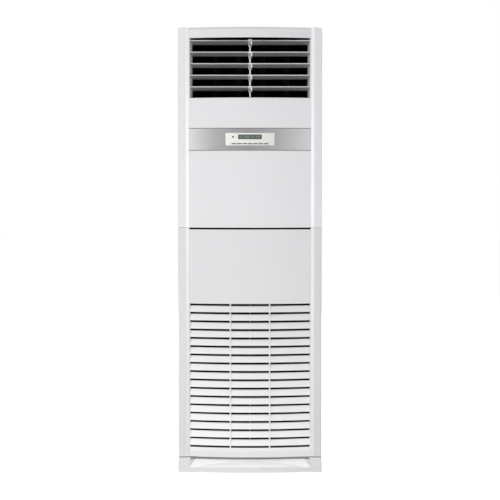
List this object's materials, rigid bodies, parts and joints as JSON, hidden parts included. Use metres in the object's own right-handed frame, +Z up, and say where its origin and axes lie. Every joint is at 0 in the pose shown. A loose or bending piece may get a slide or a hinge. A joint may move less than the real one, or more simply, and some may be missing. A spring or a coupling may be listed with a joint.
{
  "type": "floor standing air conditioner",
  "caption": "Tall white floor standing air conditioner with a louvred top outlet, bulged front panels, silver display band and slatted intake grille over a plinth.",
  "frame": {"origin": "on the floor, under the centre of the bounding box", "axes": "+X to the viewer's right, -Y to the front where the air comes out, +Z up"},
  "size_m": [0.6, 0.384, 1.85],
  "materials": {
    "cabinet_paint": "satin powder coat, off-white",
    "front_moulding": "fine satin moulded plastic, off-white",
    "silver_band": "brushed along its length",
    "display_plate": "glossy white",
    "key_caps": "warm grey",
    "lcd_glass": "smoked window over a liquid crystal display",
    "ir_lens": "dark receiver lens",
    "circuit_board": "green solder mask",
    "louvre_plastic": "light grey moulded plastic",
    "vane_plastic": "black moulded plastic",
    "duct_foam": "black foam lining",
    "motor_steel": "black enamel",
    "galvanised": "galvanised sheet",
    "wheel_plastic": "dark grey moulded plastic",
    "shaft_steel": "bright steel",
    "fin_aluminium": "aluminium",
    "pipe_copper": "copper pipe with brass unions",
    "drain_plastic": "white moulded plastic",
    "filter_mesh": "dark nylon mesh in a moulded frame",
    "grommet_rubber": "black rubber"
  },
  "bodies": {
    "cabinet": {"base_pan": "cabinet_paint", "capacitor": "fin_aluminium", "control_box": "galvanised", "display_board": "circuit_board", "display_plate": "display_plate", "drain_pipe": "drain_plastic", "drain_trough": "drain_plastic", "evaporator_bends": "pipe_copper", "evaporator_core": "fin_aluminium", "evaporator_end_plates": "galvanised", "fan_deck": "galvanised", "fan_motor": "motor_steel", "ir_window": "ir_lens", "lcd_window": "lcd_glass", "left_lower_pillar": "front_moulding", "left_outlet_cheek": "louvre_plastic", "left_side_panel": "cabinet_paint", "left_upper_pillar": "front_moulding", "main_board": "circuit_board", "mid_rail": "cabinet_paint", "outlet_duct": "duct_foam", "outlet_head_trim": "front_moulding", "pipe_grommet": "grommet_rubber", "plinth_skirt": "front_moulding", "rear_panel": "cabinet_paint", "rear_screws": "shaft_steel", "refrigerant_pipes": "pipe_copper", "right_lower_pillar": "front_moulding", "right_outlet_cheek": "louvre_plastic", "right_side_panel": "cabinet_paint", "right_upper_pillar": "front_moulding", "scroll_housing": "galvanised", "silver_band": "silver_band", "swing_motor": "motor_steel", "top_cover": "cabinet_paint", "upper_front_panel": "front_moulding"},
    "louvre_blade_1": {"louvre_blade_1": "louvre_plastic"},
    "louvre_blade_2": {"louvre_blade_2": "louvre_plastic"},
    "louvre_blade_3": {"louvre_blade_3": "louvre_plastic"},
    "louvre_blade_4": {"louvre_blade_4": "louvre_plastic"},
    "louvre_blade_5": {"louvre_blade_5": "louvre_plastic"},
    "louvre_link_rod": {"louvre_link_rod": "louvre_plastic"},
    "swing_vane_1": {"swing_vane_1": "vane_plastic"},
    "swing_vane_2": {"swing_vane_2": "vane_plastic"},
    "swing_vane_3": {"swing_vane_3": "vane_plastic"},
    "swing_vane_4": {"swing_vane_4": "vane_plastic"},
    "swing_crank": {"swing_crank": "vane_plastic"},
    "vane_link_bar": {"vane_link_bar": "vane_plastic"},
    "blower": {"blower_wheel": "wheel_plastic", "motor_shaft": "shaft_steel"},
    "intake_grille": {"intake_grille": "front_moulding"},
    "left_air_filter": {"left_air_filter": "filter_mesh"},
    "right_air_filter": {"right_air_filter": "filter_mesh"},
    "display_key_1": {"display_key_1": "key_caps"},
    "display_key_2": {"display_key_2": "key_caps"},
    "display_key_3": {"display_key_3": "key_caps"},
    "display_key_4": {"display_key_4": "key_caps"},
    "display_key_5": {"display_key_5": "key_caps"},
    "display_key_6": {"display_key_6": "key_caps"},
    "display_key_7": {"display_key_7": "key_caps"}
  },
  "joints": [
    {"name": "louvre_blade_1_tilt", "type": "hinge", "parent": "cabinet", "child": "louvre_blade_1", "pos_m": [0, -0.13045, 1.7897], "axis": [1, 0, 0], "range_deg": [-11.5, 48.5]},
    {"name": "louvre_blade_2_tilt", "type": "hinge", "parent": "cabinet", "child": "louvre_blade_2", "pos_m": [0, -0.13045, 1.7421], "axis": [1, 0, 0], "range_deg": [-11.5, 48.5]},
    {"name": "louvre_blade_3_tilt", "type": "hinge", "parent": "cabinet", "child": "louvre_blade_3", "pos_m": [0, -0.13045, 1.6945], "axis": [1, 0, 0], "range_deg": [-11.5, 48.5]},
    {"name": "louvre_blade_4_tilt", "type": "hinge", "parent": "cabinet", "child": "louvre_blade_4", "pos_m": [0, -0.13045, 1.6469], "axis": [1, 0, 0], "range_deg": [-11.5, 48.5]},
    {"name": "louvre_blade_5_tilt", "type": "hinge", "parent": "cabinet", "child": "louvre_blade_5", "pos_m": [0, -0.13045, 1.5993], "axis": [1, 0, 0], "range_deg": [-11.5, 48.5]},
    {"name": "louvre_link_rod_pivot", "type": "hinge", "parent": "louvre_blade_3", "child": "louvre_link_rod", "pos_m": [0, -0.09544, 1.68609], "axis": [1, 0, 0], "range_deg": [-48.5, 11.5]},
    {"name": "swing_vane_1_swing", "type": "hinge", "parent": "cabinet", "child": "swing_vane_1", "pos_m": [-0.15, -0.0387, 1.572], "axis": [0, 0, 1], "range_deg": [-54, 16]},
    {"name": "swing_vane_2_swing", "type": "hinge", "parent": "cabinet", "child": "swing_vane_2", "pos_m": [-0.05, -0.0387, 1.572], "axis": [0, 0, 1], "range_deg": [-54, 16]},
    {"name": "swing_vane_3_swing", "type": "hinge", "parent": "cabinet", "child": "swing_vane_3", "pos_m": [0.05, -0.0387, 1.572], "axis": [0, 0, 1], "range_deg": [-54, 16]},
    {"name": "swing_vane_4_swing", "type": "hinge", "parent": "cabinet", "child": "swing_vane_4", "pos_m": [0.15, -0.0387, 1.572], "axis": [0, 0, 1], "range_deg": [-54, 16]},
    {"name": "swing_crank_turn", "type": "hinge", "parent": "cabinet", "child": "swing_crank", "pos_m": [0.219, -0.0387, 1.556], "axis": [0, 0, 1], "range_deg": [-54, 16]},
    {"name": "vane_link_bar_pivot", "type": "hinge", "parent": "swing_vane_4", "child": "vane_link_bar", "pos_m": [0.14284, -0.0179, 1.564], "axis": [0, 0, 1], "range_deg": [-16, 54]},
    {"name": "blower_spin", "type": "hinge", "parent": "cabinet", "child": "blower", "pos_m": [-0.045, 0.0163, 0.402], "axis": [0, 1, 0], "continuous": true},
    {"name": "intake_grille_tilt", "type": "hinge", "parent": "cabinet", "child": "intake_grille", "pos_m": [0, -0.1527, 0.08], "axis": [1, 0, 0], "range_deg": [0, 25]},
    {"name": "left_air_filter_lift", "type": "slide", "parent": "intake_grille", "child": "left_air_filter", "axis": [0, 0, 1], "range_m": [0, 0.012]},
    {"name": "right_air_filter_lift", "type": "slide", "parent": "intake_grille", "child": "right_air_filter", "axis": [0, 0, 1], "range_m": [0, 0.012]},
    {"name": "display_key_1_press", "type": "slide", "parent": "cabinet", "child": "display_key_1", "axis": [0, 1, 0], "range_m": [0, 0.0009], "stiffness_N_per_m": 800},
    {"name": "display_key_2_press", "type": "slide", "parent": "cabinet", "child": "display_key_2", "axis": [0, 1, 0], "range_m": [0, 0.0009], "stiffness_N_per_m": 800},
    {"name": "display_key_3_press", "type": "slide", "parent": "cabinet", "child": "display_key_3", "axis": [0, 1, 0], "range_m": [0, 0.0009], "stiffness_N_per_m": 800},
    {"name": "display_key_4_press", "type": "slide", "parent": "cabinet", "child": "display_key_4", "axis": [0, 1, 0], "range_m": [0, 0.0009], "stiffness_N_per_m": 800},
    {"name": "display_key_5_press", "type": "slide", "parent": "cabinet", "child": "display_key_5", "axis": [0, 1, 0], "range_m": [0, 0.0009], "stiffness_N_per_m": 800},
    {"name": "display_key_6_press", "type": "slide", "parent": "cabinet", "child": "display_key_6", "axis": [0, 1, 0], "range_m": [0, 0.0009], "stiffness_N_per_m": 800},
    {"name": "display_key_7_press", "type": "slide", "parent": "cabinet", "child": "display_key_7", "axis": [0, 1, 0], "range_m": [0, 0.0009], "stiffness_N_per_m": 800}
  ],
  "couplings": [
    {"joint": "louvre_blade_1_tilt", "follows": "louvre_blade_3_tilt", "ratio": 1},
    {"joint": "louvre_blade_2_tilt", "follows": "louvre_blade_3_tilt", "ratio": 1},
    {"joint": "louvre_blade_4_tilt", "follows": "louvre_blade_3_tilt", "ratio": 1},
    {"joint": "louvre_blade_5_tilt", "follows": "louvre_blade_3_tilt", "ratio": 1},
    {"joint": "louvre_link_rod_pivot", "follows": "louvre_blade_3_tilt", "ratio": -1},
    {"joint": "swing_vane_1_swing", "follows": "swing_vane_4_swing", "ratio": 1},
    {"joint": "swing_vane_2_swing", "follows": "swing_vane_4_swing", "ratio": 1},
    {"joint": "swing_vane_3_swing", "follows": "swing_vane_4_swing", "ratio": 1},
    {"joint": "swing_crank_turn", "follows": "swing_vane_4_swing", "ratio": 1},
    {"joint": "vane_link_bar_pivot", "follows": "swing_vane_4_swing", "ratio": -1}
  ]
}
